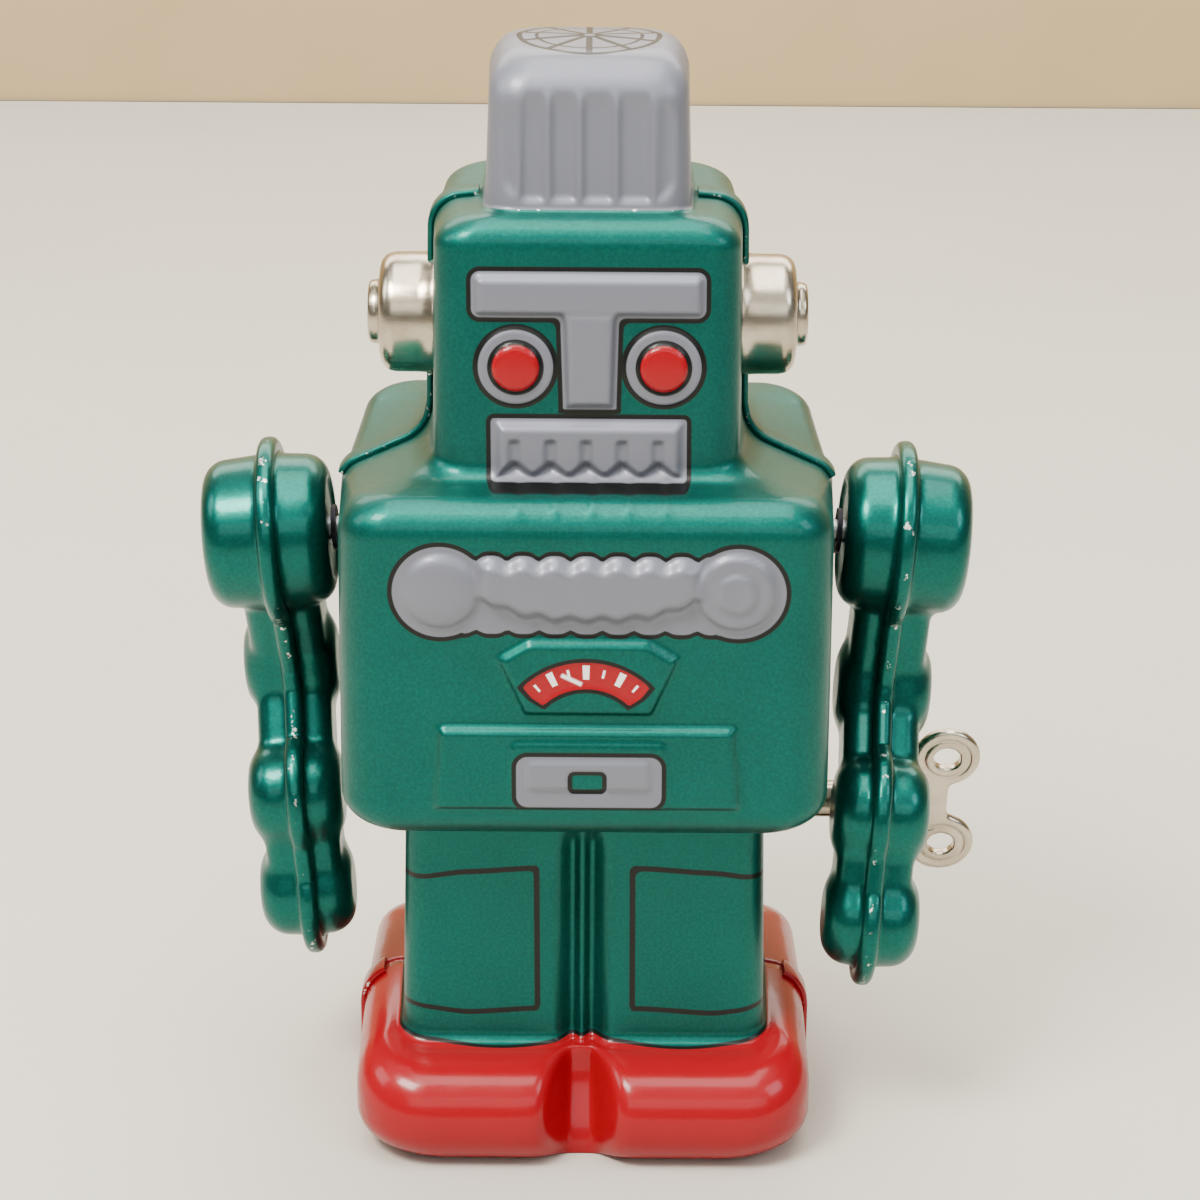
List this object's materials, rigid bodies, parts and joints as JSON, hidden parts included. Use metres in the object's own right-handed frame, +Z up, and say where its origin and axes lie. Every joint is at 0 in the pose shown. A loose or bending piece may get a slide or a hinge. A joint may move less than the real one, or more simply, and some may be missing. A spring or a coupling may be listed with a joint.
{
  "type": "tin wind-up robot",
  "caption": "Clockwork tin robot that walks on two stepping feet, with two pressed body shells, freely swinging arms and a side winding key.",
  "frame": {"origin": "on the floor, at the middle of the sole plate's underside", "axes": "+Z up, the face looks along -Y, the key is on the +X side"},
  "size_m": [0.0868, 0.05, 0.12],
  "materials": {
    "tin_green": "metallic green lacquer on printed tin, with silver, red and black print",
    "tin_plain": "bare tinplate",
    "nickel": "nickel-plated steel, slightly dulled",
    "steel": "plain steel",
    "spring_steel": "blued spring steel",
    "blackened": "blackened steel",
    "brass": "stamped brass",
    "pad": "black rubber"
  },
  "bodies": {
    "case": {"front_shell": "tin_green", "back_shell": "tin_green", "sole_plate": "tin_plain", "ear_left": "nickel", "ear_right": "nickel", "shoulder_pin_left": "steel", "shoulder_pin_right": "steel", "shoulder_bush_left": "blackened", "shoulder_bush_right": "blackened", "motor_plate_left": "tin_plain", "motor_plate_right": "tin_plain", "pillar_front_low": "brass", "pillar_front_high": "brass", "pillar_back_low": "brass", "spring_pillar": "brass", "mainspring": "spring_steel", "guide_post_left": "brass", "guide_post_right": "brass"},
    "winder": {"spring_arbor": "steel", "ratchet_wheel": "steel", "winding_key": "nickel"},
    "first_wheel": {"great_wheel": "brass", "click_stud": "steel", "click_spring": "spring_steel"},
    "pawl": {"click": "steel"},
    "crank_axle": {"crankshaft": "steel", "crank_pinion": "brass", "crank_wheel": "brass", "crank_left": "steel", "crank_right": "steel"},
    "escape_axle": {"escape_shaft": "steel", "escape_pinion": "brass", "escape_wheel": "brass"},
    "verge": {"verge_shaft": "steel", "verge_lever": "brass", "verge_pins": "steel"},
    "left_walking_foot": {"walking_leg_left": "steel", "foot_pad_left": "pad"},
    "right_walking_foot": {"walking_leg_right": "steel", "foot_pad_right": "pad"},
    "left_arm": {"arm_left_outer": "tin_green", "arm_left_inner": "tin_green"},
    "right_arm": {"arm_right_outer": "tin_green", "arm_right_inner": "tin_green"}
  },
  "joints": [
    {"name": "key_turn", "type": "hinge", "parent": "case", "child": "winder", "pos_m": [0, 0.006, 0.0313], "axis": [1, 0, 0], "continuous": true},
    {"name": "great_wheel_turn", "type": "hinge", "parent": "case", "child": "first_wheel", "pos_m": [-0.0069, 0.006, 0.0313], "axis": [1, 0, 0], "continuous": true},
    {"name": "click_drop", "type": "hinge", "parent": "first_wheel", "child": "pawl", "pos_m": [-0.0058, 0.0023, 0.0365], "axis": [1, 0, 0], "range_deg": [-12, 3]},
    {"name": "crank_turn", "type": "hinge", "parent": "case", "child": "crank_axle", "pos_m": [0, -0.00248, 0.02281], "axis": [1, 0, 0], "continuous": true},
    {"name": "escape_turn", "type": "hinge", "parent": "case", "child": "escape_axle", "pos_m": [0, 0.00839, 0.01774], "axis": [1, 0, 0], "continuous": true},
    {"name": "verge_rock", "type": "hinge", "parent": "case", "child": "verge", "pos_m": [0.0055, 0.01391, 0.01312], "axis": [1, 0, 0], "range_deg": [-12, 12]},
    {"name": "left_foot_step", "type": "slide", "parent": "case", "child": "left_walking_foot", "axis": [0, 0, 1], "range_m": [-0.0014, 0.0014]},
    {"name": "right_foot_step", "type": "slide", "parent": "case", "child": "right_walking_foot", "axis": [0, 0, 1], "range_m": [-0.0014, 0.0014]},
    {"name": "left_arm_swing", "type": "hinge", "parent": "case", "child": "left_arm", "pos_m": [-0.034, 0, 0.0653], "axis": [-0.9971, 0, -0.0767], "range_deg": [-20, 120]},
    {"name": "right_arm_swing", "type": "hinge", "parent": "case", "child": "right_arm", "pos_m": [0.034, 0, 0.0653], "axis": [-0.9971, 0, 0.0767], "range_deg": [-2, 120]}
  ],
  "couplings": [
    {"joint": "great_wheel_turn", "follows": "crank_turn", "ratio": -0.33333},
    {"joint": "escape_turn", "follows": "crank_turn", "ratio": -3},
    {"joint": "right_foot_step", "follows": "left_foot_step", "ratio": -1}
  ]
}
